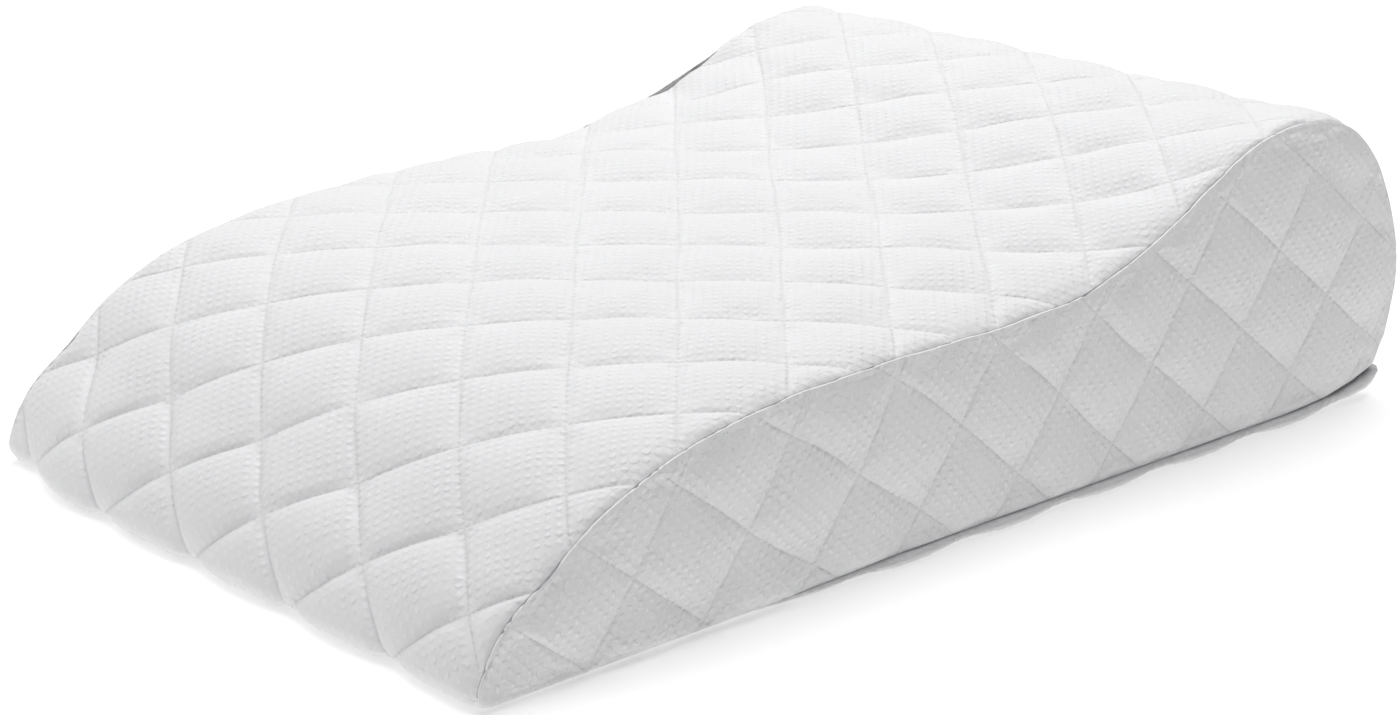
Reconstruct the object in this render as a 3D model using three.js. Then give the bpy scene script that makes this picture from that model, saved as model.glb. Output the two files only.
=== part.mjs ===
// Leg elevation pillow: a foam-filled wedge in a diamond-quilted knit cover.
// X runs across, Y from the low front nose to the high back, Z up, in millimetres.
import * as THREE from 'three';

// Driving sizes
const SEAM_TO_SEAM = 440; // width between the two side seams
const PIECE_GAP = 0.3; // clear space between two pieces that are sewn together
const CROWN_FLATNESS = 4; // above 2 the top's swell stays nearly level across and falls off near the seams
const CREST_LEAN = 0.092; // the soft crest has settled towards its left end by this share of its height
const NOSE_TURN = 15; // how far the left corner of the nose is drawn back
const NOSE_END = 135; // where this has died out, along the pillow
const SIDE_BULGE = 2; // how far the middle of a side panel stands out past its puffed edge
const STITCHED_EDGE = 1.5; // thickness of a side panel at its seam

// Quilting: a diamond's length along the cover, its breadth, and how far its middle puffs up
const DIAMOND_LENGTH = 78.6;
const DIAMOND_BREADTH = 85.2;
const PUFF = 5;
const PUFF_FULLNESS = 0.75; // below 1 the puff rises steeply from its stitch lines
const FACETS_PER_DIAMOND = 6; // mesh steps along a diamond, an even number

// Where one crossing of the stitch lines lies on the top panel, from the middle and from the front base seam
const TOP_CROSSING = { across: 23, along: 56.3 };

// The side panels are cut slightly off the straight: where one crossing of their stitch lines lies,
// and how far the next one towards the back and the next one upwards lie from it
const SIDE_CROSSING = { along: 60, height: 10.5 };
const SIDE_STEP_BACK = { along: 79.2, height: 3.7 };
const SIDE_STEP_UP = { along: -20, height: 81.3 };

// How far the side panels' stitch lines bow upwards along their length
const SIDE_BOW = [
  { along: -20, rise: -6 },
  { along: 170, rise: -5 },
  { along: 240, rise: 3 },
  { along: 310, rise: 9 },
  { along: 380, rise: 5 },
  { along: 470, rise: -1 },
  { along: 560, rise: -2 },
  { along: 730, rise: 0 },
];

// The rounded edge beside a seam
const ROLL_WIDTH = 13;
const ROLL_HEIGHT = 1.5; // stitch lines lie this far above the seam, puffs much more
const BULGE_WIDTH = 60; // distance from the seam at which a side panel has its full bulge

// The base panel's padded rim
const RIM_OVERHANG = 2; // how far it stands out past the base seam where a stitch line meets it
const RIM_SCALLOP = 3.5; // how much further it puffs out between two stitch lines
const RIM_TUCK = 1; // a low rim lies this far inside the seam instead
const RIM_HEIGHTS = { tucked: 3, full: 6 };
const RIM_FOOT_INSET = 5; // how far inside its widest line the rim meets the surface
const RIM_STEP = 13; // mesh step along the rim
const RIM_CROSSING = 19.65; // where along its sides one crossing of the stitch lines meets the rim
const REST_END = 640; // the underside is flat up to here
const REAR_LIFT = 7.5; // and curves up this far at the back
const TABLE_CLEARANCE = 0.3; // a puff of the nose that would touch the table is pressed flat this far above it

// The base seam's height above the surface, from the front nose to the back
const BASE_SEAM = [
  { along: 8, height: 2.2 },
  { along: 180, height: 3.5 },
  { along: 290, height: 6 },
  { along: 620, height: 6 },
  { along: 655, height: 8 },
  { along: 680, height: 12.5 },
  { along: 700, height: 19 },
];

// A side seam between its two ends on the base seam: up the nose, along the ramp, over the crest, down the back
const SIDE_SEAM = [
  { along: 0, height: 2.2 },
  { along: -6, height: 4.5 },
  { along: -8.7, height: 9.5 },
  { along: -7, height: 17 },
  { along: -2, height: 28 },
  { along: 6.5, height: 39 },
  { along: 17, height: 48.5 },
  { along: 38, height: 62 },
  { along: 70, height: 83 },
  { along: 110, height: 100 },
  { along: 145, height: 109 },
  { along: 178, height: 114 },
  { along: 210, height: 117 },
  { along: 250, height: 118.3 },
  { along: 310, height: 118.7 },
  { along: 355, height: 118 },
  { along: 395, height: 119.5 },
  { along: 430, height: 122.5 },
  { along: 461, height: 131 },
  { along: 490, height: 142.3 },
  { along: 533, height: 164 },
  { along: 558, height: 176.5 },
  { along: 581, height: 184 },
  { along: 604, height: 187 },
  { along: 627, height: 186.3 },
  { along: 650, height: 181 },
  { along: 668, height: 171 },
  { along: 687, height: 153.5 },
  { along: 704.5, height: 124 },
  { along: 713.5, height: 97 },
  { along: 716.5, height: 72 },
  { along: 713, height: 48 },
  { along: 708, height: 33 },
];

// How far the middle of the top panel swells above its side seams: a crown on the ramp and at the foot of the
// rise, a slight hollow on the crest, a crown on the back
const TOP_SWELL = [
  { along: 0, rise: 0 },
  { along: 130, rise: 3.8 },
  { along: 250, rise: 5.5 },
  { along: 330, rise: 9.5 },
  { along: 405, rise: 13 },
  { along: 585, rise: -11 },
  { along: 605, rise: -9.5 },
  { along: 632, rise: -4 },
  { along: 662, rise: 1.5 },
  { along: 708, rise: 2 },
];
const LEAN = { start: 390, full: 600 }; // where the left end comes to lie lower than the right

// The share of its height by which the left corner has slumped as well
const SLUMP = [
  { along: 350, rise: 0 },
  { along: 410, rise: -0.04 },
  { along: 465, rise: -0.036 },
  { along: 515, rise: -0.09 },
  { along: 545, rise: -0.082 },
  { along: 575, rise: -0.052 },
  { along: 600, rise: -0.03 },
  { along: 640, rise: 0 },
];
const CORNER_START = 0.8; // a corner's share of the way from the right seam to the left one

const HALF_WIDTH = SEAM_TO_SEAM / 2;
const EDGE_STEPS = [0, 3, 8]; // mesh rows beside a seam, where the cover rolls over
const SHORTEST_STEP = 4; // facet lines closer than this to an edge row are left out
const OUTLINE_STEP = 2; // spacing of the points that a side panel's outline is measured at
const CHAIN_STEP = 10; // mesh step along the seam at a side panel's two ends
const END_CLEARANCE = 0.5; // a column of facets keeps this share of its width clear of them
const SEAM_DIVISIONS = 2000; // the side seam's length is measured in this many steps
const SAME_LEVEL = 1e-6; // levels closer than this belong to one row

const frontSeam = BASE_SEAM[0];
const backSeam = BASE_SEAM[BASE_SEAM.length - 1];

// The top panel's sewn edge as one smooth curve, seen from the side
const sideSeam = new THREE.CatmullRomCurve3(
  [frontSeam, ...SIDE_SEAM, backSeam].map(({ along, height }) => new THREE.Vector3(0, along, height + PIECE_GAP)),
);
sideSeam.arcLengthDivisions = SEAM_DIVISIONS;
const SEAM_LENGTH = sideSeam.getLength();

// Quarter round beside a seam: 0 at the seam, 1 where the cover has reached its full height
function seamRoll(distance) {
  const t = Math.min(Math.max(distance, 0) / ROLL_WIDTH, 1);
  return Math.sqrt(t * (2 - t));
}

// Place in the quilting, from a place in diamonds across and along: stitch lines lie at whole numbers
function stitchPlace(across, along) {
  return { rising: along - across, falling: along + across };
}

// Distance from the nearest stitch line of one family: 0 on a line, 1 midway between two
function fromLine(place) {
  return 2 * Math.abs(place - Math.round(place));
}

// Height of a puffed diamond, from 0 on its stitch lines to 1 in its middle
function puff({ rising, falling }) {
  const swell = (distance) => Math.sin((distance * Math.PI) / 2) ** PUFF_FULLNESS;
  return swell(fromLine(rising)) * swell(fromLine(falling));
}

// Eases from each row of a table of rises to the next
function eased(table, along) {
  const found = table.findIndex((row, k) => k > 0 && along <= row.along);
  const end = found < 0 ? table.length - 1 : found;
  const [before, after] = [table[end - 1], table[end]];
  const share = THREE.MathUtils.smoothstep(along, before.along, after.along);
  return THREE.MathUtils.lerp(before.rise, after.rise, share);
}

// The finished place of a point, with the crest and the nose settled towards the left
function settled(x, y, z) {
  const { smoothstep, clamp } = THREE.MathUtils;
  const towardsLeft = clamp((HALF_WIDTH - x) / SEAM_TO_SEAM, 0, 1);
  const inCorner = smoothstep(towardsLeft, CORNER_START, 1);
  const lean = CREST_LEAN * towardsLeft * smoothstep(y, LEAN.start, LEAN.full);
  const turn = NOSE_TURN * inCorner * (1 - smoothstep(y, 0, NOSE_END));
  return [x, y + turn, z * (1 - lean + inCorner * eased(SLUMP, y))];
}

// Mesh rows between two seams: a few beside each, and every facet line of the quilting in between
function meshRows(start, end, crossing, facet, scale = 1) {
  const margin = (EDGE_STEPS[EDGE_STEPS.length - 1] + SHORTEST_STEP) * scale;
  const first = Math.ceil((start + margin - crossing) / facet);
  const last = Math.floor((end - margin - crossing) / facet);
  const rows = EDGE_STEPS.map((step) => start + step * scale);
  for (let k = first; k <= last; k += 1) rows.push(crossing + k * facet);
  rows.push(...EDGE_STEPS.map((step) => end - step * scale).reverse());
  return last < first ? [start, (start + end) / 2, end] : rows;
}

// A closed mesh under construction
class Skin {
  points = [];
  places = [];
  triangles = [];

  add(x, y, z, place = null) {
    this.points.push([x, y, z]);
    this.places.push(place);
    return this.points.length - 1;
  }

  // Four corners in order round a face, split between the first and the third
  face(a, b, c, d) {
    this.triangles.push([a, b, c], [a, c, d]);
  }

  // Fills the strip between two columns that run the same way; `level` puts their points in order.
  // A quilted square is split along whichever stitch line is nearer.
  zip(left, right, level) {
    let i = 0;
    let k = 0;
    while (i < left.length - 1 || k < right.length - 1) {
      const nextLeft = i < left.length - 1 ? level(left[i + 1]) : Infinity;
      const nextRight = k < right.length - 1 ? level(right[k + 1]) : Infinity;
      const square = Math.abs(nextLeft - nextRight) < SAME_LEVEL;
      const stepRight = square ? this.splitsRising(left[i], right[k + 1]) : nextRight < nextLeft;
      if (stepRight) {
        this.triangles.push([left[i], right[k], right[k + 1]]);
        k += 1;
      } else {
        this.triangles.push([left[i], right[k], left[i + 1]]);
        i += 1;
      }
    }
  }

  splitsRising(a, c) {
    const middle = (family) => (this.places[a][family] + this.places[c][family]) / 2;
    return fromLine(middle('rising')) < fromLine(middle('falling'));
  }

  // Fills a flat outline that runs anticlockwise in (y, z); `facing` is 1 towards +X and -1 towards -X
  cap(ring, facing) {
    const outline = ring.map((index) => new THREE.Vector2(this.points[index][1], this.points[index][2]));
    for (const [a, b, c] of THREE.ShapeUtils.triangulateShape(outline, [])) {
      const turn = THREE.ShapeUtils.area([outline[a], outline[b], outline[c]]) * facing;
      this.triangles.push(turn > 0 ? [ring[a], ring[b], ring[c]] : [ring[a], ring[c], ring[b]]);
    }
  }

  geometry(mirrored = false) {
    const sign = mirrored ? -1 : 1;
    const geometry = new THREE.BufferGeometry();
    const positions = this.points.flatMap(([x, y, z]) => settled(sign * x, y, z));
    const corners = this.triangles.flatMap(([a, b, c]) => (mirrored ? [a, c, b] : [a, b, c]));
    geometry.setAttribute('position', new THREE.Float32BufferAttribute(positions, 3));
    geometry.setIndex(corners);
    geometry.computeVertexNormals();
    return geometry;
  }
}

// The filled body, whose surface is the quilted top panel from the front base seam over to the back one
function bodyGeometry() {
  const skin = new Skin();
  const half = HALF_WIDTH - PIECE_GAP / 2;
  const facetAcross = DIAMOND_BREADTH / FACETS_PER_DIAMOND;
  const facetAlong = DIAMOND_LENGTH / FACETS_PER_DIAMOND;
  const alongRows = meshRows(0, SEAM_LENGTH, TOP_CROSSING.along, facetAlong);
  const acrossRows = meshRows(-half, half, TOP_CROSSING.across, facetAcross);

  const coverPoint = (across, along) => {
    const seam = sideSeam.getPointAt(along / SEAM_LENGTH);
    const heading = sideSeam.getTangentAt(along / SEAM_LENGTH);
    const place = stitchPlace(
      (across - TOP_CROSSING.across) / DIAMOND_BREADTH,
      (along - TOP_CROSSING.along) / DIAMOND_LENGTH,
    );
    const roll = seamRoll(half - Math.abs(across)) * seamRoll(Math.min(along, SEAM_LENGTH - along));
    const crown = eased(TOP_SWELL, seam.y) * (1 - (across / half) ** CROWN_FLATNESS);
    const lift = roll * (ROLL_HEIGHT + crown + PUFF * puff(place));
    const height = Math.max(seam.z + lift * heading.y, TABLE_CLEARANCE);
    return skin.add(across, seam.y - lift * heading.z, height, place);
  };

  const columns = acrossRows.map((across) => {
    const cover = alongRows.map((along) => coverPoint(across, along));
    const under = BASE_SEAM.slice(1, -1)
      .reverse()
      .map(({ along, height }) => skin.add(across, along, height + PIECE_GAP));
    return { cover, under: [cover[cover.length - 1], ...under, cover[0]] };
  });

  const rowOf = new Map(columns.flatMap(({ cover }) => cover.map((index, row) => [index, row])));
  for (let k = 1; k < columns.length; k += 1) {
    const [left, right] = [columns[k - 1], columns[k]];
    skin.zip(left.cover, right.cover, (index) => rowOf.get(index));
    for (let m = 1; m < left.under.length; m += 1) {
      skin.face(left.under[m - 1], right.under[m - 1], right.under[m], left.under[m]);
    }
  }
  const ringOf = ({ cover, under }) => [...cover, ...under.slice(1, -1)].reverse();
  skin.cap(ringOf(columns[0]), -1);
  skin.cap(ringOf(columns[columns.length - 1]), 1);
  return skin.geometry();
}

// Place on a side panel in diamonds back and up, and the way round again
const stepsCross = SIDE_STEP_BACK.along * SIDE_STEP_UP.height - SIDE_STEP_BACK.height * SIDE_STEP_UP.along;

function toDiamonds(along, height) {
  const dy = along - SIDE_CROSSING.along;
  const dz = height - eased(SIDE_BOW, along) - SIDE_CROSSING.height;
  return {
    back: (dy * SIDE_STEP_UP.height - dz * SIDE_STEP_UP.along) / stepsCross,
    up: (dz * SIDE_STEP_BACK.along - dy * SIDE_STEP_BACK.height) / stepsCross,
  };
}

function fromDiamonds(back, up) {
  const along = SIDE_CROSSING.along + back * SIDE_STEP_BACK.along + up * SIDE_STEP_UP.along;
  const straight = SIDE_CROSSING.height + back * SIDE_STEP_BACK.height + up * SIDE_STEP_UP.height;
  return { along, height: straight + eased(SIDE_BOW, along) };
}

// A side panel's outline as close points, anticlockwise seen from the right: along the base seam towards the
// back, then over the top panel's edge to the front
function sideOutline() {
  const base = BASE_SEAM.slice(1).flatMap((end, k) => {
    const start = BASE_SEAM[k];
    const count = Math.ceil((end.along - start.along) / OUTLINE_STEP);
    return Array.from({ length: count }, (_, n) => ({
      along: THREE.MathUtils.lerp(start.along, end.along, n / count),
      height: THREE.MathUtils.lerp(start.height, end.height, n / count) + PIECE_GAP,
    }));
  });
  const over = sideSeam.getSpacedPoints(Math.round(SEAM_LENGTH / OUTLINE_STEP)).reverse().slice(0, -1);
  return [...base, ...over.map(({ y, z }) => ({ along: y, height: z }))].map(({ along, height }) => ({
    along,
    height,
    ...toDiamonds(along, height),
  }));
}

// Distance from a point to a closed outline
function seamDistance({ along, height }, outline) {
  const spot = new THREE.Vector3(0, along, height);
  const side = new THREE.Line3();
  const nearest = new THREE.Vector3();
  return outline.reduce((least, start, k) => {
    const end = outline[(k + 1) % outline.length];
    side.start.set(0, start.along, start.height);
    side.end.set(0, end.along, end.height);
    return Math.min(least, side.closestPointToPoint(spot, true, nearest).distanceTo(spot));
  }, Infinity);
}

// Where a line of constant `back` enters and leaves the outline, from low to high
function crossings(outline, back) {
  return outline
    .flatMap((start, k) => {
      const end = outline[(k + 1) % outline.length];
      if ((start.back < back) === (end.back < back)) return [];
      return [THREE.MathUtils.lerp(start.up, end.up, (back - start.back) / (end.back - start.back))];
    })
    .sort((low, high) => low - high);
}

// A quilted side panel, sewn in along the side seam and the base seam; its inner face is flat
function sideGeometry(mirrored) {
  const skin = new Skin();
  const outline = sideOutline();
  const inner = HALF_WIDTH + PIECE_GAP / 2;
  const levels = [];

  const outerPoint = (back, up) => {
    const spot = fromDiamonds(back, up);
    const distance = seamDistance(spot, outline);
    const place = stitchPlace(up, back);
    const bulge = SIDE_BULGE * THREE.MathUtils.smoothstep(distance, 0, BULGE_WIDTH);
    const lift = seamRoll(distance) * (ROLL_HEIGHT + bulge + PUFF * puff(place));
    const index = skin.add(inner + STITCHED_EDGE + lift, spot.along, spot.height, place);
    levels[index] = up;
    return index;
  };

  // Columns of mesh points, one on each facet line across the panel
  const facet = 1 / FACETS_PER_DIAMOND;
  const reach = outline.map(({ back }) => back);
  const first = Math.ceil(Math.min(...reach) / facet + END_CLEARANCE);
  const last = Math.floor(Math.max(...reach) / facet - END_CLEARANCE);
  const columns = [];
  for (let k = first; k <= last; k += 1) {
    const [low, high] = crossings(outline, k * facet);
    const rows = meshRows(low, high, 0, facet, 1 / SIDE_STEP_UP.height);
    columns.push(rows.map((up) => outerPoint(k * facet, up)));
  }

  // The seam beyond the first and the last column, from low to high
  const chain = (beyond) => {
    const thinned = outline.filter((_, n) => n % (CHAIN_STEP / OUTLINE_STEP) === 0).filter(beyond);
    return thinned.sort((a, b) => a.up - b.up).map(({ back, up }) => outerPoint(back, up));
  };
  const margin = facet / FACETS_PER_DIAMOND;
  const nose = chain(({ back }) => back < first * facet - margin);
  const heel = chain(({ back }) => back > last * facet + margin);

  [nose, ...columns, heel].forEach((column, k, all) => {
    if (k > 0) skin.zip(all[k - 1], column, (index) => levels[index]);
  });

  // The flat inner face and the thin stitched edge between the two faces
  const twins = new Map();
  const twin = (index) => {
    if (!twins.has(index)) twins.set(index, skin.add(inner, skin.points[index][1], skin.points[index][2]));
    return twins.get(index);
  };
  const bottoms = columns.map((column) => column[0]);
  const tops = columns.map((column) => column[column.length - 1]);
  const rim = [...bottoms, ...heel, ...tops.toReversed(), ...nose.toReversed()];
  rim.forEach((index, k) => {
    const next = rim[(k + 1) % rim.length];
    skin.face(twin(index), twin(next), next, index);
  });
  bottoms.slice(1).forEach((bottom, k) => {
    skin.face(...[bottoms[k], tops[k], tops[k + 1], bottom].map(twin));
  });
  const fan = (pivot, ring) => {
    ring.slice(1).forEach((index, k) => skin.triangles.push([pivot, ring[k], index].map(twin)));
  };
  fan(bottoms[0], [...nose, tops[0]]);
  fan(bottoms[bottoms.length - 1], [tops[tops.length - 1], ...heel.toReversed()]);
  return skin.geometry(mirrored);
}

// The base panel: flat underneath, with a padded, scalloped rim that stands out under the side panels
function baseGeometry() {
  const skin = new Skin();

  // Stations along one side, with every bend of the base seam among them
  const sideStations = BASE_SEAM.slice(1).flatMap((end, k) => {
    const start = BASE_SEAM[k];
    const count = Math.round((end.along - start.along) / RIM_STEP);
    return Array.from({ length: count }, (_, n) => ({
      along: THREE.MathUtils.lerp(start.along, end.along, n / count),
      height: THREE.MathUtils.lerp(start.height, end.height, n / count),
    }));
  });
  sideStations.push(backSeam);
  const crossCount = Math.round(SEAM_TO_SEAM / RIM_STEP);
  const crossStations = Array.from({ length: crossCount - 1 }, (_, n) => (n + 1) / crossCount - 0.5);

  const rimPoint = (across, along, height, outward) => {
    const onSide = Math.abs(outward.x) > Math.abs(outward.y);
    const travel = onSide ? (along - RIM_CROSSING) / DIAMOND_LENGTH : across / DIAMOND_BREADTH;
    const standing = RIM_OVERHANG + RIM_SCALLOP * Math.sin((fromLine(travel) * Math.PI) / 2);
    const shown = THREE.MathUtils.smoothstep(height, RIM_HEIGHTS.tucked, RIM_HEIGHTS.full);
    const widest = THREE.MathUtils.lerp(-RIM_TUCK, standing, shown);
    const table = REAR_LIFT * Math.max((along - REST_END) / (backSeam.along - REST_END), 0) ** 2;
    const at = (distance, level) => skin.add(across + outward.x * distance, along + outward.y * distance, level);
    return {
      seam: at(0, height),
      widest: at(widest, (height + table) / 2),
      foot: at(widest - RIM_FOOT_INSET, table),
    };
  };

  // The four edges; a side edge includes its corners, which stand out both ways
  const sideEdge = (sign) => sideStations.map(({ along, height }, k) => {
    const ends = { 0: -1, [sideStations.length - 1]: 1 };
    return rimPoint(sign * HALF_WIDTH, along, height, new THREE.Vector2(sign, ends[k] ?? 0).normalize());
  });
  const crossEdge = ({ along, height }, sign) => crossStations.map((share) => (
    rimPoint(share * SEAM_TO_SEAM, along, height, new THREE.Vector2(0, sign))
  ));
  const right = sideEdge(1);
  const left = sideEdge(-1);
  const front = crossEdge(frontSeam, -1);
  const back = crossEdge(backSeam, 1);

  const rim = [...front, ...right, ...back.toReversed(), ...left.toReversed()];
  rim.forEach((here, k) => {
    const next = rim[(k + 1) % rim.length];
    skin.face(here.foot, next.foot, next.widest, here.widest);
    skin.face(here.widest, next.widest, next.seam, here.seam);
  });

  // A flat face from rungs between the two sides, with a fan at each end; it faces up or down
  const ladder = (edge, up) => {
    const add = (a, b, c) => skin.triangles.push(up ? [a, b, c] : [a, c, b]);
    const [lefts, rights] = [left, right].map((side) => side.map((point) => point[edge]));
    const end = rights.length - 1;
    for (let k = 2; k < end; k += 1) {
      add(lefts[k - 1], rights[k - 1], rights[k]);
      add(lefts[k - 1], rights[k], lefts[k]);
    }
    const fans = (row, leftPivot, rightPivot, order) => {
      const middle = Math.floor(row.length / 2);
      row.slice(1).forEach((index, k) => order(k < middle ? leftPivot : rightPivot, row[k], index));
      order(leftPivot, row[middle], rightPivot);
    };
    const frontRow = [lefts[0], ...front.map((point) => point[edge]), rights[0]];
    const backRow = [lefts[end], ...back.map((point) => point[edge]), rights[end]];
    fans(frontRow, lefts[1], rights[1], add);
    fans(backRow, lefts[end - 1], rights[end - 1], (a, b, c) => add(a, c, b));
  };
  ladder('seam', true);
  ladder('foot', false);
  return skin.geometry();
}

// Finishes, from the photograph: the top reads whiter because it faces the light
const TOP_WHITE = 0xf1f2f3;
const SIDE_WHITE = 0xe4e5e3;
const KNIT_ROUGHNESS = 0.92;

function piece(name, geometry, color) {
  const cloth = new THREE.MeshStandardMaterial({ color, roughness: KNIT_ROUGHNESS, metalness: 0 });
  const mesh = new THREE.Mesh(geometry, cloth);
  mesh.name = name;
  return mesh;
}

const pillow = new THREE.Group();
pillow.add(
  piece('pillow_body', bodyGeometry(), TOP_WHITE),
  piece('side_panel_right', sideGeometry(false), SIDE_WHITE),
  piece('side_panel_left', sideGeometry(true), SIDE_WHITE),
  piece('base_panel', baseGeometry(), SIDE_WHITE),
);

// The origin lies on the surface, under the middle of the whole pillow
const box = new THREE.Box3().setFromObject(pillow);
pillow.position.y = -(box.min.y + box.max.y) / 2;

export default pillow;
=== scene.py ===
# Leg elevation pillow: a foam-filled wedge in a diamond-quilted knit cover.
# X runs across, Y from the low front nose to the high back, Z up, in the frame of the CAD model.
import math

import bmesh
import bpy
import numpy as np
from mathutils import Matrix, Vector, noise
from mathutils.geometry import delaunay_2d_cdt


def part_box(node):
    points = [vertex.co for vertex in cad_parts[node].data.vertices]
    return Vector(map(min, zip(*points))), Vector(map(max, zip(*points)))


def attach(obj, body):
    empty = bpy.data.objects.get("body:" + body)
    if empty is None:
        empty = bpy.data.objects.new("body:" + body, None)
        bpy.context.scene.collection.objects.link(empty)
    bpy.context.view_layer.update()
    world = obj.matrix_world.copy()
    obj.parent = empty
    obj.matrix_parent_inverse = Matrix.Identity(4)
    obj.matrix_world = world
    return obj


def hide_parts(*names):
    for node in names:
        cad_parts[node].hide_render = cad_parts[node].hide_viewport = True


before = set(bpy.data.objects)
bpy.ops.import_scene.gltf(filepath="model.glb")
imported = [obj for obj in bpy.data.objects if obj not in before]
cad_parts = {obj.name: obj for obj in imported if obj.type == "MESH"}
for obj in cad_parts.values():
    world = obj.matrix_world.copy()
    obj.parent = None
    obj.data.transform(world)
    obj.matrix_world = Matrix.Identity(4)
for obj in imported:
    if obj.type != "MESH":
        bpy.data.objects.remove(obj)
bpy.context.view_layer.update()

# Sizes in millimetres, the same as in the CAD model but for the base panel's rim, which is fuller here.
# A place is (along, height) seen from the side.
MM = 0.001
SEAM_TO_SEAM = 440  # width between the two side seams
HALF_WIDTH = SEAM_TO_SEAM / 2
PIECE_GAP = 0.3  # clear space between two pieces that are sewn together
CROWN_FLATNESS = 4  # above 2 the top's swell stays nearly level across and falls off near the seams
CREST_LEAN = 0.092  # the soft crest has settled towards its left end by this share of its height
NOSE_TURN = 15  # how far the left corner of the nose is drawn back
NOSE_END = 135  # where this has died out
SIDE_BULGE = 2  # how far the middle of a side panel stands out past its puffed edge
STITCHED_EDGE = 1.5  # thickness of a side panel at its seam
ROLL_WIDTH = 13  # width of the rounded edge beside a seam
ROLL_HEIGHT = 1.5  # stitch lines lie this far above the seam
BULGE_WIDTH = 60  # distance from the seam at which a side panel has its full bulge
LEAN_START, LEAN_FULL = 390, 600  # where the left end comes to lie lower than the right
# The share of its height by which the left corner has slumped as well
SLUMP = (
    (350, 0), (410, -0.04), (465, -0.036), (515, -0.09),
    (545, -0.082), (575, -0.052), (600, -0.03), (640, 0),
)
CORNER_START = 0.8  # a corner's share of the way from the right seam to the left one
TABLE_CLEARANCE = 0.3  # a puff that would touch the table is pressed flat this far above it
REST_END = 640  # the underside is flat up to here
REAR_LIFT = 7.5  # and curves up this far at the back

# How far the middle of the top panel swells above its side seams: a crown on the ramp and at the foot of the
# rise, a slight hollow on the crest, a crown on the back
TOP_SWELL = (
    (0, 0), (130, 3.8), (250, 5.5), (330, 9.5), (405, 13),
    (585, -11), (605, -9.5), (632, -4), (662, 1.5), (708, 2),
)
BASE_SEAM = ((8, 2.2), (180, 3.5), (290, 6), (620, 6), (655, 8), (680, 12.5), (700, 19))
BASE_BENDS = [along for along, _ in BASE_SEAM[1:-1]]
SIDE_SEAM = (
    (0, 2.2), (-6, 4.5), (-8.7, 9.5), (-7, 17), (-2, 28), (6.5, 39), (17, 48.5), (38, 62),
    (70, 83), (110, 100), (145, 109), (178, 114), (210, 117), (250, 118.3), (310, 118.7), (355, 118),
    (395, 119.5), (430, 122.5), (461, 131), (490, 142.3), (533, 164), (558, 176.5), (581, 184), (604, 187),
    (627, 186.3), (650, 181), (668, 171), (687, 153.5), (704.5, 124), (713.5, 97), (716.5, 72), (713, 48),
    (708, 33),
)

# Quilting: one crossing of the stitch lines on each panel, and the steps from there to its neighbours
DIAMOND_LENGTH = 78.6
DIAMOND_BREADTH = 85.2
PUFF = 5  # how far a diamond's middle stands above its stitch lines
PUFF_FULLNESS = 0.75  # below 1 a puff rises steeply from its stitch lines
TOP_CROSSING = (23, 56.3)
SIDE_CROSSING = (60, 10.5)
SIDE_STEP_BACK = (79.2, 3.7)
SIDE_STEP_UP = (-20, 81.3)
# How far the side panels' stitch lines bow upwards along their length
SIDE_BOW = ((-20, -6), (170, -5), (240, 3), (310, 9), (380, 5), (470, -1), (560, -2), (730, 0))

NOSE_DRAW = 2.6  # stitch lines are drawn in this much deeper under the nose, where the cloth turns tightly
NOSE_DRAW_END = (55, 135)  # and this eases off here, along the cloth
NOSE_DRAW_REACH = 0.4  # a puff this high, as a share of its height, is no longer drawn in
WANDER = 1.8  # how far a stitch line strays from its straight course
WANDER_LENGTH = 85  # over this length
SEAM_WAVER = 0.9  # the sewn edge is drawn in and out this far between stitch lines
SEAM_WAVER_LENGTH = 22
NOISE_SEED = 5  # so that both are the same each run

# The base panel, whose padded rim wraps up round its edge to the base seam
BASE_DIAMOND = (88, 78.6)  # breadth and length, so that stitch lines cross on both of its long edges
RIM_WRAP = 12  # width of cloth in the rim
RIM_OVERHANG = 2  # how far it stands out past the base seam where a stitch line meets it
RIM_FLANGE = 2.5  # and this much further along the sides, out from under the side panels' puffs
RIM_SCALLOP = 3.5  # how much further it puffs out between them
RIM_TUCK = 1  # a low rim lies this far inside the seam instead
RIM_TUCKED, RIM_FULL = 3, 6  # heights of a rim that is tucked in and of one that stands out
RIM_FOOT_INSET = 4  # how far inside its widest line the rim meets the surface
RIM_FULLNESS = 0.35  # below 1 the rim stands out at once below the base seam
RIM_SAG = 1.3  # above 1 its widest line lies above the middle of its height
RIM_FADE = 40  # width in which the flat cloth underneath follows the rim
CORNER_SIZE = 22  # the base panel's corners are rounded over this length
CORNER_INSET = 5  # and drawn in this far
CORNER_FULL = 0.6  # from this share of the way down the rim
RIM_CROSSING = 19.65  # where along its sides one crossing of the stitch lines meets the rim
UNDER_GROOVE = 2  # how far the stitch lines underneath are drawn up

# How the cloth is sewn before its filling swells it, and how the filling then presses
SEWN_SHARE = 0.78  # share of a puff's height that it starts with
SLACK = 0.006  # how much more cloth there is than lies flat between two stitch lines
PRESSURE = 2.5
CLOTH_MASS = 0.1
BENDING = 3
SETTLING_FRAMES = 14
MOST_SWELL = 2.5  # a point moves this far at most
sewn_puff = PUFF * SEWN_SHARE

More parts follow.
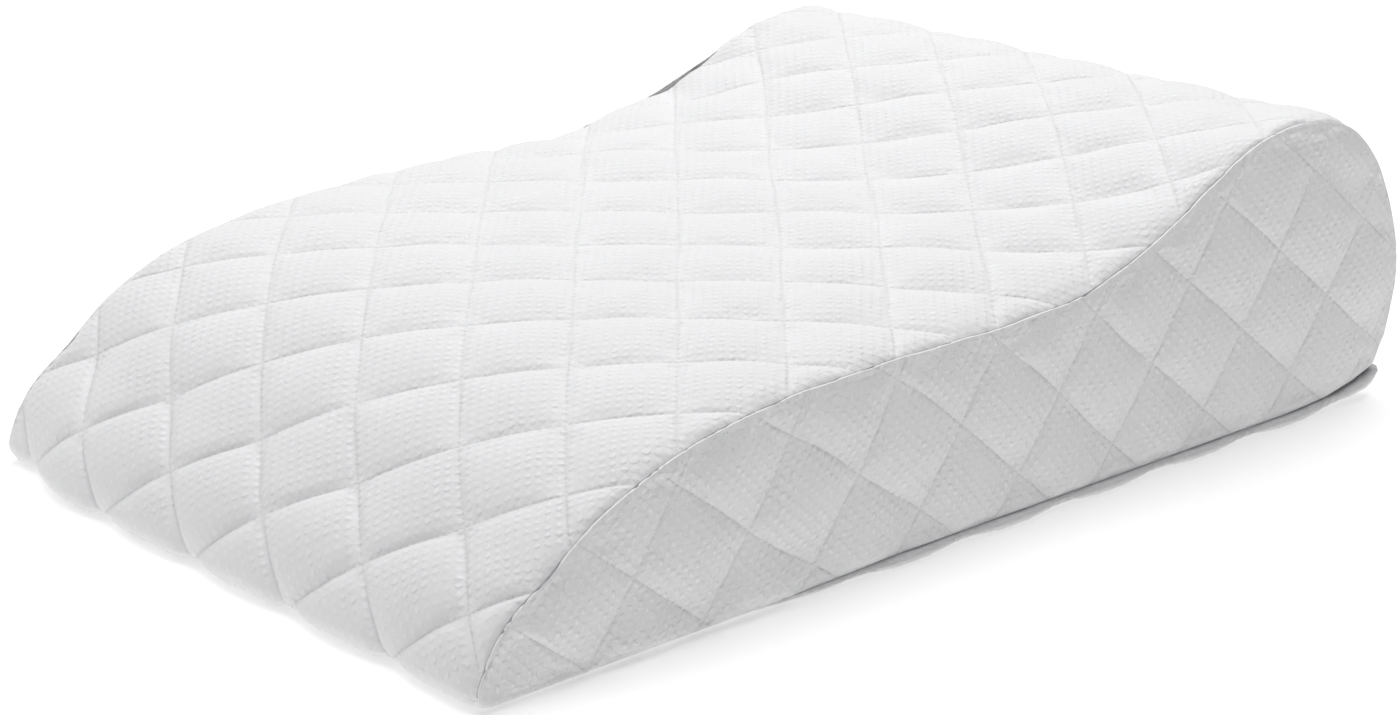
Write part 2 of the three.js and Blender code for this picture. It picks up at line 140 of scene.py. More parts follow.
# The knit's surface, in millimetres
LINE_SPACING = 57.8  # between two stitch lines of one family
STITCH_PITCH = 3.4
THREAD_WIDTH, THREAD_HEIGHT = 0.5, 0.25
GROOVE_WIDTH, GROOVE_DEPTH = 0.8, 0.3
PUCKER_WIDTH, PUCKER_HEIGHT = 6, 0.2
GATHER_WIDTH = 9  # puckers reach this far from a seam
PUCKER_SIZE = 6
CREASE_SIZE, CREASE_HEIGHT = 17, 0.22
PIP_PITCH, PIP_HEIGHT = 8, 0.6  # from one pip to the next in its row; the rows lie half as far apart
PIP_JITTER, JITTER_SIZE = 0.8, 14  # a pip strays this far, in radians of its pitch
PIP_WEAR, WEAR_SIZE = 0.35, 22  # pips are lower by this share in some patches and higher in others
LEAST_PIP = 0.15  # share of its height that the lowest keeps
WALE_WIDTH, WALE_HEIGHT = 2.6, 0.04
LOOP_SIZE, LOOP_HEIGHT = 1.1, 0.06

# Shade of the knit, from 0 for the palest to 1 for the deepest, and how much each feature changes it
MEAN_SHADE = 0.15
# Painted shade: the cloth between the pips is coloured darker and the pips lighter, where loops would shade
# each other
PAINTED_SHADE_BETWEEN_PIPS = 0.14
# Painted shade: the sunken grooves of the stitch lines are coloured darker
PAINTED_SHADE_IN_GROOVES = 0.14
THREAD_SHADE = 0.1
BLEACH_SIZE, BLEACH_SHADE = 60, 0.035

# Mesh: cloth edges run along the stitch lines and crowd beside them, where the cloth bends most
SEGMENTS = 12  # between two stitch lines, an even number
CROWDING = 0.72  # 0 spaces them evenly, 1 lets them meet at the lines
SEAM_ROWS = (1.2, 3, 6, 10)  # rows beside a seam
OUTLINE_STEP = 4  # spacing of a side panel's edge points along the top panel
BASE_STEP = 6  # and along the base panel
CURVE_STEPS = 40  # points on each stretch of the side seam
CLOTH_TOLERANCE = 0.3  # points closer than this are one
ON_LINE = 0.01  # a vertex this close to a stitch line, in diamonds, is on it
TINY = 1e-6  # a move shorter than this, in metres, is none

MATH = "ShaderNodeMath"
VECTOR_MATH = "ShaderNodeVectorMath"

# The photograph's camera, in degrees, millimetres and metres
CAMERA_ANGLES = (46.95, 19.58, 0.91)  # azimuth, elevation and roll
SENSOR_WIDTH = 36
LENS = 93.08
CAMERA_PLACE = (1.4705, -1.386, 0.7613)

# The studio: each soft light has a name, a place, a point that it faces, a size and a power in watts
SOFTBOXES = (
    ("back_light", (-1.1, 1.9, 2.3), (0, 0.1, 0.1), 2.2, 36),
    ("overhead_light", (-0.2, -0.1, 2.6), (0, 0, 0), 2.5, 46),
    ("left_light", (-1.7, -1.4, 1.7), (0, -0.1, 0.1), 1.6, 8),
)
ROOM_COLOUR = (0.98, 0.98, 1, 1)
ROOM_LIGHT = 0.19
TABLE_REACH = 6
PAPER_GLOW_COLOUR = (1, 0.998, 0.985, 1)
PAPER_GLOW = 0.3


def smooth_curve(points):
    """Close points along the centripetal curve through the given places."""
    points = [np.array(point, dtype=float) for point in points]
    chain = [2 * points[0] - points[1], *points, 2 * points[-1] - points[-2]]
    curve = []
    for before, start, end, after in zip(chain, chain[1:], chain[2:], chain[3:]):
        a, b, c = (np.linalg.norm(q - p) ** 0.5 for p, q in ((before, start), (start, end), (end, after)))
        span = end - start
        leaving = span + b * ((start - before) / a - (end - before) / (a + b))
        arriving = span + b * ((after - end) / c - (after - start) / (b + c))
        for t in np.arange(CURVE_STEPS) / CURVE_STEPS:
            bend = (3 * span - 2 * leaving - arriving) * t**2 + (leaving + arriving - 2 * span) * t**3
            curve.append(start + leaving * t + bend)
    return np.array([*curve, points[-1]])


# The top panel's sewn edge, up the nose, along the ramp, over the crest and down the back
seam = smooth_curve([BASE_SEAM[0], *SIDE_SEAM, BASE_SEAM[-1]]) + (0, PIECE_GAP)
noise.seed_set(NOISE_SEED)
seam += [SEAM_WAVER * noise.noise_vector(Vector((*place, 0)) / SEAM_WAVER_LENGTH).xy for place in seam]
seam_at = np.concatenate([[0], np.cumsum(np.linalg.norm(np.diff(seam, axis=0), axis=1))])
SEAM_LENGTH = float(seam_at[-1])
seam_heading = np.gradient(seam, seam_at, axis=0)

# The frame has its origin under the middle of the pillow
side_low, side_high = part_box("side_panel_right")
MIDDLE = (seam[:, 0].min() + seam[:, 0].max()) / 2 - (side_low.y + side_high.y) / 2 / MM


def smoothstep(value, start, end):
    """0 before start, 1 after end, and smooth in between."""
    t = min(max((value - start) / (end - start), 0), 1)
    return t * t * (3 - 2 * t)


def seam_roll(distance):
    """Quarter round beside a seam: 0 at the seam, 1 where the cover has reached its full height."""
    t = min(max(distance, 0) / ROLL_WIDTH, 1)
    return math.sqrt(t * (2 - t))


def base_height(along):
    """Height of the base seam above the surface."""
    return float(np.interp(along, *zip(*BASE_SEAM)))


def eased(table, along):
    """Eases from each row of a table of rises to the next."""
    for (start, low), (end, high) in zip(table, table[1:]):
        if along <= end:
            return low + (high - low) * smoothstep(along, start, end)
    return table[-1][1]


def puff(place):
    """Height of a puffed diamond, from 0 on its stitch lines to 1 in its middle."""
    swell = [math.sin(abs(value - round(value)) * math.pi) ** PUFF_FULLNESS for value in place.xy]
    return swell[0] * swell[1]


def lattice(origin, across, along):
    """From stitch-line coordinates to millimetres: the lines lie at whole numbers on both axes."""
    rising = [(a + b) / 2 for a, b in zip(across, along)]
    falling = [(b - a) / 2 for a, b in zip(across, along)]
    rows = ((rising[0], falling[0], 0, origin[0]), (rising[1], falling[1], 0, origin[1]))
    return Matrix((*rows, (0, 0, 1, 0), (0, 0, 0, 1)))


TOP_LATTICE = lattice(TOP_CROSSING, (DIAMOND_BREADTH, 0), (0, DIAMOND_LENGTH))
SIDE_LATTICE = lattice(SIDE_CROSSING, SIDE_STEP_BACK, SIDE_STEP_UP)


def crowded(place):
    """Moves an evenly spaced coordinate towards its nearest stitch line."""
    return place - CROWDING * math.sin(2 * math.pi * place) / (2 * math.pi)


def reach(stitches, corners):
    """First and last stitch line that the corners of a panel need."""
    places = [stitches.inverted() @ Vector((*corner, 0)) for corner in corners]
    values = [value for place in places for value in place.xy]
    return math.floor(min(values)), math.ceil(max(values))


def oblong_sheet(stitches, low, high):
    """A flat oblong sheet of cloth, cut out of a larger one whose edges follow the stitch lines."""
    first, last = reach(stitches, [(x, y) for x in (low[0], high[0]) for y in (low[1], high[1])])
    cells = last - first
    bm = bmesh.new()
    bmesh.ops.create_grid(bm, x_segments=cells * SEGMENTS, y_segments=cells * SEGMENTS, size=cells / 2)
    bmesh.ops.translate(bm, verts=bm.verts, vec=((first + last) / 2, (first + last) / 2, 0))
    for vert in bm.verts:
        vert.co.x = crowded(vert.co.x)
        vert.co.y = crowded(vert.co.y)
    bmesh.ops.transform(bm, matrix=stitches, verts=bm.verts)
    for inset in (0, *SEAM_ROWS):
        for edge, outward in ((low, -1), (high, 1)):
            for axis in (0, 1):
                normal = [0, 0, 0]
                normal[axis] = outward
                bmesh.ops.bisect_plane(
                    bm,
                    geom=[*bm.verts, *bm.edges, *bm.faces],
                    dist=CLOTH_TOLERANCE,
                    plane_co=(edge[0] - outward * inset, edge[1] - outward * inset, 0),
                    plane_no=normal,
                    use_snap_center=True,
                    clear_outer=inset == 0,
                )
    return bm


def side_outline():
    """A side panel's edge, anticlockwise seen from the right, as close places."""
    stations = np.arange(BASE_SEAM[0][0], BASE_SEAM[-1][0], BASE_STEP)
    base = [(along, base_height(along) + PIECE_GAP) for along in stations]
    count = round(SEAM_LENGTH / OUTLINE_STEP)
    over = [np.interp(SEAM_LENGTH * k / count, seam_at, seam[:, 0]) for k in range(count, 0, -1)]
    up = [np.interp(SEAM_LENGTH * k / count, seam_at, seam[:, 1]) for k in range(count, 0, -1)]
    return np.array([*base, *zip(over, up)])


def inset_outline(outline, distance):
    """The same edge, moved inwards."""
    heading = np.roll(outline, -1, axis=0) - np.roll(outline, 1, axis=0)
    heading /= np.linalg.norm(heading, axis=1, keepdims=True)
    return outline + distance * np.stack([-heading[:, 1], heading[:, 0]], axis=1)


def shaped_sheet(stitches, outline):
    """A flat sheet of cloth in the outline's shape, whose edges follow the stitch lines and the outline."""
    first, last = reach(stitches, outline)
    lines = [crowded(k / SEGMENTS) for k in range(first * SEGMENTS, last * SEGMENTS + 1)]
    ends = [stitches @ Vector((line, end, 0)) for line in lines for end in (first, last)]
    ends += [stitches @ Vector((end, line, 0)) for line in lines for end in (first, last)]
    points = [Vector(place) for place in outline]
    edges = []
    for inset in SEAM_ROWS:
        start = len(points)
        loop = inset_outline(outline, inset)
        points += [Vector(place) for place in loop]
        edges += [(start + k, start + (k + 1) % len(loop)) for k in range(len(loop))]
    edges += [(len(points) + k, len(points) + k + 1) for k in range(0, len(ends), 2)]
    points += [end.xy for end in ends]
    cut = delaunay_2d_cdt(points, edges, [list(range(len(outline)))], 1, CLOTH_TOLERANCE, True)
    places, sides, faces, _, drawn, within = cut
    bm = bmesh.new()
    verts = [bm.verts.new((*place, 0)) for place in places]
    for face, owners in zip(faces, within):
        if owners:
            bm.faces.new([verts[k] for k in face])
    extra = [bm.edges.get([verts[k] for k in side]) for side, lines in zip(sides, drawn) if not lines]
    bmesh.ops.dissolve_edges(bm, edges=[edge for edge in extra if edge and not edge.is_boundary])
    bmesh.ops.delete(bm, geom=[vert for vert in bm.verts if not vert.link_faces], context="VERTS")
    bmesh.ops.remove_doubles(bm, verts=bm.verts, dist=CLOTH_TOLERANCE)
    return bm


def to_cover_seams(across, along):
    """Distances from a point of the flat top panel to its side seams and to its end seams."""
    return HALF_WIDTH - PIECE_GAP / 2 - abs(across), min(along, SEAM_LENGTH - along)


def cover_place(across, along):
    """Where a point of the flat top panel lies on the pillow."""
    half = HALF_WIDTH - PIECE_GAP / 2
    place = TOP_LATTICE.inverted() @ Vector((across, along, 0))
    to_seam = to_cover_seams(across, along)
    roll = seam_roll(to_seam[0]) * seam_roll(to_seam[1])
    across, along = strayed((across, along), min(to_seam))
    y, z, heading_y, heading_z = (
        float(np.interp(along, seam_at, values)) for values in (*seam.T, *seam_heading.T)
    )
    crown = eased(TOP_SWELL, y) * (1 - (across / half) ** CROWN_FLATNESS)
    in_groove = 1 - smoothstep(puff(place), 0, NOSE_DRAW_REACH)
    drawn = NOSE_DRAW * in_groove * (1 - smoothstep(along, *NOSE_DRAW_END))
    lift = roll * (ROLL_HEIGHT + crown + sewn_puff * puff(place) - drawn)
    return Vector((across, y - lift * heading_z, max(z + lift * heading_y, TABLE_CLEARANCE)))


def side_place(along, height, place, to_seam):
    """Where a point of the right side panel lies on the pillow."""
    bulge = SIDE_BULGE * smoothstep(to_seam, 0, BULGE_WIDTH)
    lift = seam_roll(to_seam) * (ROLL_HEIGHT + bulge + sewn_puff * puff(place))
    return Vector((HALF_WIDTH + PIECE_GAP / 2 + STITCHED_EDGE + lift, along, height))


def strayed(place, to_seam):
    """Where a point of the flat cloth comes to lie, as the stitch lines aren't sewn dead straight."""
    free = smoothstep(to_seam, ROLL_WIDTH, 3 * ROLL_WIDTH)
    return Vector(place) + WANDER * free * noise.noise_vector(Vector((*place, 0)) / WANDER_LENGTH).xy


def on_lines(place):
    """Whether a place in the lattice lies on a stitch line."""
    return any(abs(value - round(value)) < ON_LINE for value in place.xy)


class Cloth:
    """A sheet of cloth on its way from flat to finished. For the material, each vertex keeps its place on the
    flat cloth, its place in the stitch lines and its distance from the seam. For the filling, it keeps
    whether it is sewn down."""

    def __init__(self, name, bm, stitches):
        self.name = name
        self.bm = bm
        self.flat = bm.verts.layers.float_vector.new("flat_cloth")
        self.lines = bm.verts.layers.float_vector.new("stitch_lines")
        self.from_seam = bm.verts.layers.float.new("from_seam")
        self.sewn = bm.verts.layers.float.new("sewn")
        inverse = stitches.inverted()
        for vert in bm.verts:
            place = inverse @ vert.co
            vert[self.flat] = vert.co
            vert[self.lines] = place
            vert[self.sewn] = 1.0 if on_lines(place) or vert.is_boundary else 0.0

    def place(self, placing, to_seam):
        """Moves every vertex of the flat cloth to where it lies on the pillow."""
        for vert in self.bm.verts:
            vert[self.from_seam] = to_seam(vert.co)
            vert.co = placing(vert)
        self.outer = set(self.bm.faces)

    def fold(self, edges, moving):
        """Turns the cloth in along some of its open edges, and moves the new edge."""
        folded = bmesh.ops.extrude_edge_only(self.bm, edges=edges)["geom"]
        for vert in folded:
            if isinstance(vert, bmesh.types.BMVert):
                vert.co = moving(vert.co)
                vert[self.sewn] = 1.0

    def close(self, bends=()):
        """Fills the one opening that is left, with a bend at each of these places along it."""
        bmesh.ops.remove_doubles(self.bm, verts=self.bm.verts, dist=CLOTH_TOLERANCE / 10)
        opening = [edge for edge in self.bm.edges if edge.is_boundary]
        filling = bmesh.ops.holes_fill(self.bm, edges=opening, sides=len(opening))["faces"]
        for along in bends:
            inner = [face for face in self.bm.faces if face not in self.outer and face.normal.z**2 > 0.5]
            around = {part for face in inner for part in (*face.verts, *face.edges)}
            plane = {"plane_co": (0, along, 0), "plane_no": (0, 1, 0), "dist": CLOTH_TOLERANCE}
            bmesh.ops.bisect_plane(self.bm, geom=[*inner, *around], **plane)
        filling = [face for face in self.bm.faces if len(face.verts) > 4 and face not in self.outer]
        bmesh.ops.triangulate(self.bm, faces=filling, quad_method="BEAUTY", ngon_method="EAR_CLIP")

    def piece(self, mirrored=False):
        """The finished mesh object, in metres in the frame."""
        outer = self.outer
        crease = self.bm.edges.layers.float.new("crease_edge")
        for edge in self.bm.edges:
            turned = len({face in outer for face in edge.link_faces}) > 1
            edge[crease] = 1.0 if turned else 0.0
            edge.smooth = not turned
        for face in self.bm.faces:
            face.smooth = face in outer
        if mirrored:
            bmesh.ops.scale(self.bm, verts=self.bm.verts, vec=(-1, 1, 1))
            bmesh.ops.reverse_faces(self.bm, faces=self.bm.faces)
        for vert in self.bm.verts:
            vert.co = settled(vert.co)
        bmesh.ops.translate(self.bm, verts=self.bm.verts, vec=(0, -MIDDLE, 0))
        bmesh.ops.scale(self.bm, verts=self.bm.verts, vec=(MM, MM, MM))
        mesh = bpy.data.meshes.new(self.name)
        self.bm.to_mesh(mesh)
        obj = bpy.data.objects.new(self.name, mesh)
        bpy.context.scene.collection.objects.link(obj)
        return obj


def settled(place):
    """The finished place of a point, with the crest and the nose settled towards the left."""
    towards_left = min(max((HALF_WIDTH - place.x) / SEAM_TO_SEAM, 0), 1)
    in_corner = smoothstep(towards_left, CORNER_START, 1)
    lean = CREST_LEAN * towards_left * smoothstep(place.y, LEAN_START, LEAN_FULL)
    turn = NOSE_TURN * in_corner * (1 - smoothstep(place.y, 0, NOSE_END))
    return Vector((place.x, place.y + turn, place.z * (1 - lean + in_corner * eased(SLUMP, place.y))))


def filled_body():
    """The filled body with its long quilted top panel."""
    half = HALF_WIDTH - PIECE_GAP / 2
    cloth = Cloth("quilted_body", oblong_sheet(TOP_LATTICE, (-half, 0), (half, SEAM_LENGTH)), TOP_LATTICE)

    def side_edges(sign):
        edges = (edge for edge in cloth.bm.edges if edge.is_boundary)
        least = half - CLOTH_TOLERANCE
        return [edge for edge in edges if all(vert.co.x * sign > least for vert in edge.verts)]

    def to_base(place):
        along = min(max(place.y, BASE_SEAM[0][0]), BASE_SEAM[-1][0])
        return Vector((place.x, along, base_height(along) + PIECE_GAP))

    sides = [side_edges(sign) for sign in (-1, 1)]
    cloth.place(lambda vert: cover_place(*vert.co.xy), lambda flat: min(to_cover_seams(*flat.xy)))
    for side in sides:
        cloth.fold(side, to_base)
    cloth.close(BASE_BENDS)
    return cloth.piece()


def side_panel(name, mirrored):
    """A shaped side panel, quilted on its outer face and flat on its inner one."""
    starts = side_outline()
    spans = np.roll(starts, -1, axis=0) - starts
    straightened = np.array([(along, height - eased(SIDE_BOW, along)) for along, height in starts])
    cloth = Cloth(name, shaped_sheet(SIDE_LATTICE, straightened), SIDE_LATTICE)

    def to_seam(place):
        from_start = np.array(place) - starts
        share = np.clip((from_start * spans).sum(axis=1) / (spans**2).sum(axis=1), 0, 1)
        return float(np.linalg.norm(from_start - share[:, None] * spans, axis=1).min())

    def bowed(flat):
        return Vector((flat.x, flat.y + eased(SIDE_BOW, flat.x)))

    def placed(vert):
        inside = vert[cloth.from_seam]
        return side_place(*strayed(bowed(vert.co), inside), vert[cloth.lines], inside)

    rim = [edge for edge in cloth.bm.edges if edge.is_boundary]
    cloth.place(placed, lambda flat: to_seam(bowed(flat)))
    cloth.fold(rim, lambda place: Vector((HALF_WIDTH + PIECE_GAP / 2, *place.yz)))
    cloth.close()
    return cloth.piece(mirrored)


def under_place(across, along):
    """Where a point of the flat base panel lies: flat underneath, and round its rim up to the base seam."""
    front, back = BASE_SEAM[0][0], BASE_SEAM[-1][0]
    middle = (front + back) / 2
    from_sides = HALF_WIDTH - abs(across)
    from_ends = min(along - front, back - along)
    wrap = min(from_sides, from_ends, RIM_WRAP) / RIM_WRAP
    lattice_place = BASE_LATTICE.inverted() @ Vector((across, along, 0))
    outward = Vector((max(RIM_FADE - from_sides, 0), max(RIM_FADE - from_ends, 0)))
    if outward.length:
        outward.normalize()
    outward.x = math.copysign(outward.x, across)
    outward.y = math.copysign(outward.y, along - middle)
    on_side = abs(outward.x) > abs(outward.y)
    travel = (along - RIM_CROSSING) / BASE_DIAMOND[1] if on_side else across / BASE_DIAMOND[0] + 0.5
    standing = RIM_OVERHANG + RIM_FLANGE * abs(outward.x) + RIM_SCALLOP * abs(math.sin(math.pi * travel))
    widest = (standing + RIM_TUCK) * smoothstep(base_height(along), RIM_TUCKED, RIM_FULL) - RIM_TUCK
    curl = math.sin(math.pi * wrap)
    offset = widest * curl**RIM_FULLNESS if wrap < 0.5 else widest - RIM_FOOT_INSET * (1 - curl)
    offset *= smoothstep(RIM_FADE - min(from_sides, from_ends), 0, RIM_FADE - RIM_WRAP)
    x = HALF_WIDTH - max(from_sides - RIM_WRAP, 0) * HALF_WIDTH / (HALF_WIDTH - RIM_WRAP)
    x = math.copysign(x, across)
    half_length = (back - front) / 2
    y = half_length - max(from_ends - RIM_WRAP, 0) * half_length / (half_length - RIM_WRAP)
    y = middle + math.copysign(y, along - middle)
    corner = max(CORNER_SIZE - from_sides, 0) * max(CORNER_SIZE - from_ends, 0) / CORNER_SIZE**2
    corner *= smoothstep(wrap, 0, CORNER_FULL)
    x -= math.copysign(CORNER_INSET * corner, across)
    y -= math.copysign(CORNER_INSET * corner, along - middle)
    table = REAR_LIFT * max((y - REST_END) / (back - REST_END), 0) ** 2
    drawn_up = UNDER_GROOVE * (1 - smoothstep(puff(lattice_place), 0, 0.5)) * smoothstep(wrap, 0.5, 1)
    z = table + (base_height(along) - table) * (1 + math.cos(math.pi * wrap**RIM_SAG)) / 2 + drawn_up
    return Vector((x + outward.x * offset, y + outward.y * offset, z))


BASE_LATTICE = lattice((HALF_WIDTH, RIM_CROSSING), (BASE_DIAMOND[0], 0), (0, BASE_DIAMOND[1]))


def base_panel():
    """The base panel: quilted cloth that lies flat, with a padded, scalloped rim."""
    low, high = (-HALF_WIDTH, BASE_SEAM[0][0]), (HALF_WIDTH, BASE_SEAM[-1][0])
    cloth = Cloth("quilted_base", oblong_sheet(BASE_LATTICE, low, high), BASE_LATTICE)
    cloth.place(
        lambda vert: under_place(*vert.co.xy),
        lambda flat: min(HALF_WIDTH - abs(flat.x), flat.y - low[1], high[1] - flat.y),
    )
    bmesh.ops.reverse_faces(cloth.bm, faces=cloth.bm.faces)
    cloth.close(BASE_BENDS)
    return cloth.piece()


def swell(piece):
    """The filling presses the cloth out between its stitch lines, where it wrinkles as it will."""
    sewn = piece.vertex_groups.new(name="sewn")
    held = piece.data.attributes["sewn"].data
    sewn.add([vert.index for vert in piece.data.vertices if held[vert.index].value > 0.5], 1, "REPLACE")
    cloth = piece.modifiers.new("filling", "CLOTH")
    cloth.collision_settings.use_collision = False
    settings = cloth.settings
    settings.vertex_group_mass = sewn.name
    settings.mass = CLOTH_MASS
    settings.shrink_min = -SLACK
    settings.bending_stiffness = BENDING
    settings.use_pressure = True
    settings.uniform_pressure_force = PRESSURE
    settings.effector_weights.gravity = 0
    for number in range(1, SETTLING_FRAMES + 1):
        bpy.context.scene.frame_set(number)
    swelled = piece.evaluated_get(bpy.context.evaluated_depsgraph_get()).data
    for vert, moved in zip(piece.data.vertices, swelled.vertices):
        step = moved.co - vert.co
        vert.co += step * min(1, MOST_SWELL * MM / max(step.length, TINY))
        vert.co.z = max(vert.co.z, TABLE_CLEARANCE * MM)
    piece.modifiers.remove(cloth)
    piece.vertex_groups.remove(sewn)
    bpy.context.scene.frame_set(1)


def linear(hex_colour):
    """A linear colour from an sRGB hex value."""
    channels = [int(hex_colour[k:k + 2], 16) / 255 for k in (1, 3, 5)]
    return (*(c / 12.92 if c <= 0.04045 else ((c + 0.055) / 1.055) ** 2.4 for c in channels), 1)


def add(tree, kind, inputs=(), **settings):
    """A node with its settings. Its inputs come by name or in order. Each is a value, or a socket or node that
    feeds it."""
    node = tree.nodes.new(kind)
    for name, value in settings.items():
        setattr(node, name, value)
    for socket, source in inputs.items() if isinstance(inputs, dict) else enumerate(inputs):
        if isinstance(source, bpy.types.Node):
            source = source.outputs[0]
        if isinstance(source, bpy.types.NodeSocket):
            tree.links.new(source, node.inputs[socket])
        else:
            node.inputs[socket].default_value = source
    return node


def grain(tree, vector, size, stretch=(1, 1, 1), detail=2.0):
    """Noise from about -1 to 1 whose lumps are this many millimetres across."""
    scaled = add(tree, VECTOR_MATH, (vector, [value / size for value in stretch]), operation="MULTIPLY")
    lumps = add(tree, "ShaderNodeTexNoise", {"Vector": scaled, "Scale": 1.0, "Detail": detail})
    return add(tree, MATH, (lumps.outputs["Fac"], 4.0, -2.0), operation="MULTIPLY_ADD")


def near(tree, distance, width):
    """1 on a line, fading to 0 about this far from it."""
    share = add(tree, MATH, (distance, width), operation="DIVIDE")
    square = add(tree, MATH, (share, share), operation="MULTIPLY")
    falling = add(tree, MATH, (square, -1.0), operation="MULTIPLY")
    return add(tree, MATH, (falling,), operation="EXPONENT")


def summed(tree, start, terms):
    """The sum of a starting value and of several sources, each times its factor."""
    for source, factor in terms:
        start = add(tree, MATH, (source, factor, start), operation="MULTIPLY_ADD")
    return start


def white_double_knit():
    """Bleached polyester double knit, quilted to its wadding: matt white, with rows of small pips that show
    where the light rakes it, and thin sunken lines of stitches. All heights are in millimetres."""
    material = bpy.data.materials.new("white_double_knit")
    material.use_nodes = True
    tree = material.node_tree
    shader = tree.nodes["Principled BSDF"]
    shader.inputs["Roughness"].default_value = 0.92  # matt: brushed yarn gives no highlight
    shader.inputs["Specular IOR Level"].default_value = 0.25  # yarn full of air reflects little
    shader.inputs["Sheen Weight"].default_value = 0.15  # the soft halo of its fibre ends
    shader.inputs["Sheen Roughness"].default_value = 0.6  # spread wide over the puffs

    cloth = add(tree, "ShaderNodeAttribute", attribute_name="flat_cloth").outputs["Vector"]
    lattice_place = add(tree, "ShaderNodeAttribute", attribute_name="stitch_lines").outputs["Vector"]
    from_seam = add(tree, "ShaderNodeAttribute", attribute_name="from_seam").outputs["Fac"]
    rising, falling, _ = add(tree, "ShaderNodeSeparateXYZ", (lattice_place,)).outputs

    # Distance from the nearest stitch line of each family, and its thread: a row of short raised stitches
    turns_per_line = 2 * math.pi * LINE_SPACING / STITCH_PITCH
    distances = []
    threads = []
    for across_line, along_line in ((rising, falling), (falling, rising)):
        lines_away = add(tree, MATH, (across_line, 0.5), operation="PINGPONG")
        distances.append(add(tree, MATH, (lines_away, LINE_SPACING), operation="MULTIPLY"))
        travel = add(tree, MATH, (along_line, turns_per_line), operation="MULTIPLY")
        wave = add(tree, MATH, (travel,), operation="SINE")
        stitch = add(tree, MATH, (wave, 0.0), operation="MAXIMUM")
        on_thread = near(tree, distances[-1], THREAD_WIDTH)
        threads.append(add(tree, MATH, (stitch, on_thread), operation="MULTIPLY"))
    from_line = add(tree, MATH, distances, operation="MINIMUM")
    groove = near(tree, from_line, GROOVE_WIDTH)
    thread = add(tree, MATH, threads, operation="MAXIMUM")

    # Staggered rows of small round pips, as the photograph shows them where the light rakes the cloth
    turns = add(tree, VECTOR_MATH, (cloth, (2 * math.pi / PIP_PITCH,) * 3), operation="MULTIPLY")
    across, along, _ = add(tree, "ShaderNodeSeparateXYZ", (turns,)).outputs
    jitter = grain(tree, cloth, JITTER_SIZE)
    across = add(tree, MATH, (jitter, PIP_JITTER, across), operation="MULTIPLY_ADD")
    along = add(tree, MATH, (jitter, -PIP_JITTER, along), operation="MULTIPLY_ADD")
    columns = add(tree, MATH, (across,), operation="SINE")
    rows = add(tree, MATH, (along,), operation="SINE")
    lobes = add(tree, MATH, (columns, rows), operation="MULTIPLY")
    round_pips = add(tree, MATH, (lobes, 0.0), operation="MAXIMUM")
    worn = add(tree, MATH, (grain(tree, cloth, WEAR_SIZE), PIP_WEAR, 1 - PIP_WEAR), operation="MULTIPLY_ADD")
    left = add(tree, MATH, (worn, LEAST_PIP), operation="MAXIMUM")
    pips = add(tree, MATH, (round_pips, left), operation="MULTIPLY")

    # The knit's wales run along the cloth, and its loops make a finer, rougher grain
    wales = grain(tree, cloth, WALE_WIDTH, stretch=(1, 0.3, 1))
    loops = grain(tree, cloth, LOOP_SIZE)
    # Small puckers where the lockstitch gathers the cloth, and slack creases that run out from it
    beside_line = near(tree, from_line, PUCKER_WIDTH)
    beside_seam = near(tree, from_seam, GATHER_WIDTH)
    gathered = add(tree, MATH, (beside_line, beside_seam), operation="ADD")
    lumps = grain(tree, cloth, PUCKER_SIZE, detail=1.0)
    puckers = add(tree, MATH, (lumps, gathered), operation="MULTIPLY")
    creases = grain(tree, cloth, CREASE_SIZE, stretch=(1.6, 0.7, 1), detail=3.0)

    height = summed(tree, 0.0, (
        (pips, PIP_HEIGHT),
        (wales, WALE_HEIGHT),
        (loops, LOOP_HEIGHT),
        (puckers, PUCKER_HEIGHT),
        (creases, CREASE_HEIGHT),
        (groove, -GROOVE_DEPTH),
        (thread, THREAD_HEIGHT),
    ))
    bump = add(tree, "ShaderNodeBump", {"Height": height, "Distance": MM, "Strength": 1.0})
    tree.links.new(bump.outputs["Normal"], shader.inputs["Normal"])

    # Painted shade: the colour is darker between the pips and in the stitch lines, where loops would shade
    # each other, and the bleach isn't quite even
    tone_with_painted_shade = summed(tree, MEAN_SHADE, (
        (pips, -PAINTED_SHADE_BETWEEN_PIPS),
        (groove, PAINTED_SHADE_IN_GROOVES),
        (thread, -THREAD_SHADE),
        (grain(tree, cloth, BLEACH_SIZE), BLEACH_SHADE),
    ))
    # The ramp runs from the knit's white to the grey reached by the painted shade and the uneven bleach
    ramp = add(tree, "ShaderNodeValToRGB", {"Fac": tone_with_painted_shade})
    ramp.color_ramp.elements[0].color = linear("#f8f8f9")
    ramp.color_ramp.elements[1].color = linear("#cacaca")
    tree.links.new(ramp.outputs["Color"], shader.inputs["Base Color"])
    return material


def photo_camera():
    """The photograph's viewpoint, found from the quilting and the outlines."""
    azimuth, elevation, roll = (math.radians(angle) for angle in CAMERA_ANGLES)
    level = Vector((math.sin(azimuth), -math.cos(azimuth), 0))
    back = level * math.cos(elevation) + Vector((0, 0, math.sin(elevation)))
    right = Vector((math.cos(azimuth), math.sin(azimuth), 0))
    up = back.cross(right)
    rolled_right = right * math.cos(roll) + up * math.sin(roll)
    turned = (rolled_right, back.cross(rolled_right), back)
    data = bpy.data.cameras.new("photo_camera")
    data.sensor_width = SENSOR_WIDTH
    data.lens = LENS
    camera = bpy.data.objects.new("photo_camera", data)
    camera.matrix_world = Matrix.Translation(CAMERA_PLACE) @ Matrix(turned).transposed().to_4x4()
    bpy.context.scene.collection.objects.link(camera)
    bpy.context.scene.camera = camera


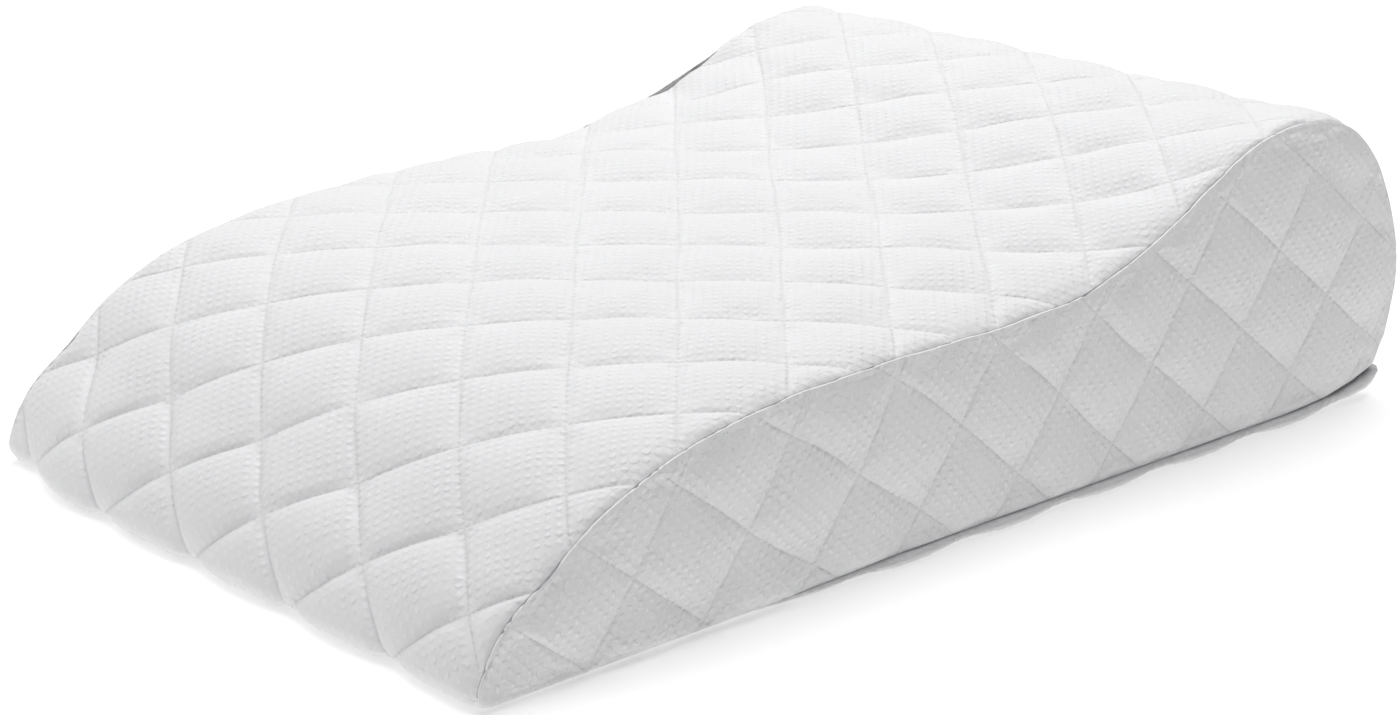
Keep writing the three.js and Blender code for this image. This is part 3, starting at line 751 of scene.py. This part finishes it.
def softbox(name, place, aim, size, watts):
    """A square soft light that faces a point."""
    data = bpy.data.lights.new(name, "AREA")
    data.size = size
    data.energy = watts
    lamp = bpy.data.objects.new(name, data)
    lamp.location = place
    lamp.rotation_euler = (Vector(place) - Vector(aim)).to_track_quat("Z", "Y").to_euler()
    bpy.context.scene.collection.objects.link(lamp)


def studio():
    """A white table in a bright, even studio: the main light comes softly from above and behind."""
    mesh = bpy.data.meshes.new("table")
    bm = bmesh.new()
    bmesh.ops.create_grid(bm, x_segments=1, y_segments=1, size=TABLE_REACH)
    bm.to_mesh(mesh)
    floor = bpy.data.objects.new("table", mesh)
    bpy.context.scene.collection.objects.link(floor)
    paper = bpy.data.materials.new("white_paper")  # smooth matt paper that fades to pure white, with no edge
    paper.use_nodes = True
    shader = paper.node_tree.nodes["Principled BSDF"]
    shader.inputs["Base Color"].default_value = linear("#fbfbfb")
    shader.inputs["Roughness"].default_value = 0.9
    shader.inputs["Emission Color"].default_value = PAPER_GLOW_COLOUR
    shader.inputs["Emission Strength"].default_value = PAPER_GLOW
    mesh.materials.append(paper)
    world = bpy.data.worlds.new("studio")
    world.use_nodes = True
    world.node_tree.nodes["Background"].inputs["Color"].default_value = ROOM_COLOUR
    world.node_tree.nodes["Background"].inputs["Strength"].default_value = ROOM_LIGHT
    bpy.context.scene.world = world
    for light in SOFTBOXES:
        softbox(*light)
    bpy.context.scene.view_settings.view_transform = "Standard"


knit = white_double_knit()
# Each piece with the node that it stands for and how firmly it is filled
pieces = {
    "pillow_body": (filled_body(), 0.95),
    "side_panel_right": (side_panel("quilted_side_right", False), 0.8),
    "side_panel_left": (side_panel("quilted_side_left", True), 0.8),
    "base_panel": (base_panel(), 0.6),
}
for node, (piece, fill) in pieces.items():
    piece.data.materials.append(knit)
    if node != "base_panel":
        swell(piece)
    softened = piece.modifiers.new("softened", "SUBSURF")
    softened.levels = 1
    softened.render_levels = 1
    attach(piece, "root")
    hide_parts(node)

photo_camera()
studio()
